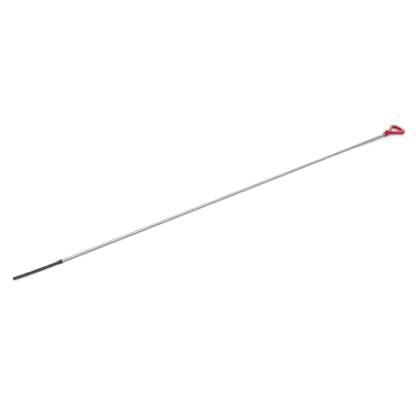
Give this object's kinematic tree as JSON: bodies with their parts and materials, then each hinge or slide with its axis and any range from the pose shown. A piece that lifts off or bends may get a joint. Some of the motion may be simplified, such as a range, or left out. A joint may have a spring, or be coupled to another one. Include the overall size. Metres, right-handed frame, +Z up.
{
  "type": "engine oil dipstick",
  "caption": "Slim engine oil dipstick: red finger-loop handle with a split plug and stop nose, long wound-wire shaft, black measuring tip with level marks.",
  "frame": {"origin": "middle of the stick's length and width, on the surface that it lies on", "axes": "+X along the stick from the measuring tip to the finger loop, +Z up from the surface"},
  "size_m": [0.7648, 0.0318, 0.0119],
  "materials": {
    "red_plastic": "satin moulded nylon",
    "wound_steel": "satin drawn wire",
    "black_plastic": "fine matte moulded nylon"
  },
  "bodies": {
    "root": {"handle": "red_plastic", "shaft_coil": "wound_steel", "core_wire": "wound_steel", "measuring_tip": "black_plastic"}
  },
  "joints": []
}
